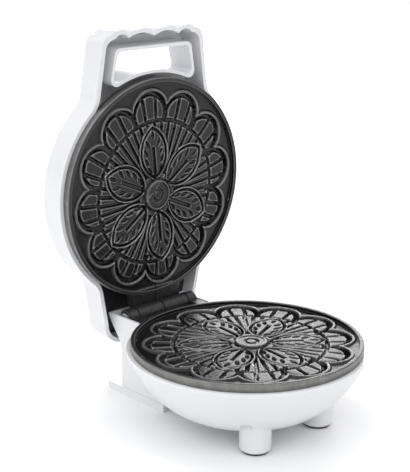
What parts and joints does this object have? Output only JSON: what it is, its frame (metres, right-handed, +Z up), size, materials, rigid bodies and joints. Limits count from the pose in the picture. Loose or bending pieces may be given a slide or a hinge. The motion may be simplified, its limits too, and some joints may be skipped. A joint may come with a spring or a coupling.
{
  "type": "pizzelle maker",
  "caption": "Small round single-plate pizzelle maker with a flower-patterned non-stick plate in base and lid, a hinged lid and a scalloped loop handle, standing open.",
  "frame": {"origin": "on the table, at the centre of the bounding box's bottom face with the lid standing open", "axes": "+Z up, +Y to the rear where the hinge is, +X to the right seen from the front; the hinge axis is along X"},
  "size_m": [0.124, 0.1553, 0.1974],
  "materials": {
    "shell_plastic": "glossy white moulded plastic",
    "nonstick": "black non-stick coating on a sand-textured casting, semi-gloss",
    "pad_rubber": "matte",
    "steel": "bright zinc",
    "heater_sheath": "dark oxidised sheath",
    "reflector_sheet": "rolled mill finish",
    "phenolic": "matte",
    "terminal_plastic": "matte",
    "terminal_brass": "satin",
    "lead_sleeve": "glass-fibre braid sleeve",
    "lens_plastic": "translucent amber-red",
    "lamp_glass": "clear"
  },
  "bodies": {
    "base": {"base_shell": "shell_plastic", "bottom_cover": "shell_plastic", "bottom_screws": "steel", "foot_pads": "pad_rubber", "cord_bushing": "pad_rubber", "lower_plate": "nonstick", "lower_plate_screws": "steel", "lower_heater": "heater_sheath", "lower_reflector": "reflector_sheet", "thermostat": "phenolic", "thermal_fuse": "steel", "fuse_clip": "steel", "terminal_block": "terminal_plastic", "terminal_screws": "terminal_brass", "heater_lead_live": "lead_sleeve", "heater_lead_neutral": "lead_sleeve", "hinge_pin": "steel", "pin_clip": "steel"},
    "lid": {"lid_shell": "shell_plastic", "hinge_guard": "phenolic", "lid_cover": "shell_plastic", "indicator_lens": "lens_plastic", "neon_lamp": "lamp_glass", "upper_plate": "nonstick", "upper_plate_screws": "steel", "upper_heater": "heater_sheath", "upper_reflector": "reflector_sheet", "lid_lead_live": "lead_sleeve", "lid_lead_neutral": "lead_sleeve"}
  },
  "joints": [
    {"name": "lid_hinge", "type": "hinge", "parent": "base", "child": "lid", "pos_m": [0, 0.0526, 0.0429], "axis": [1, 0, 0], "range_deg": [0, 88.4]}
  ]
}
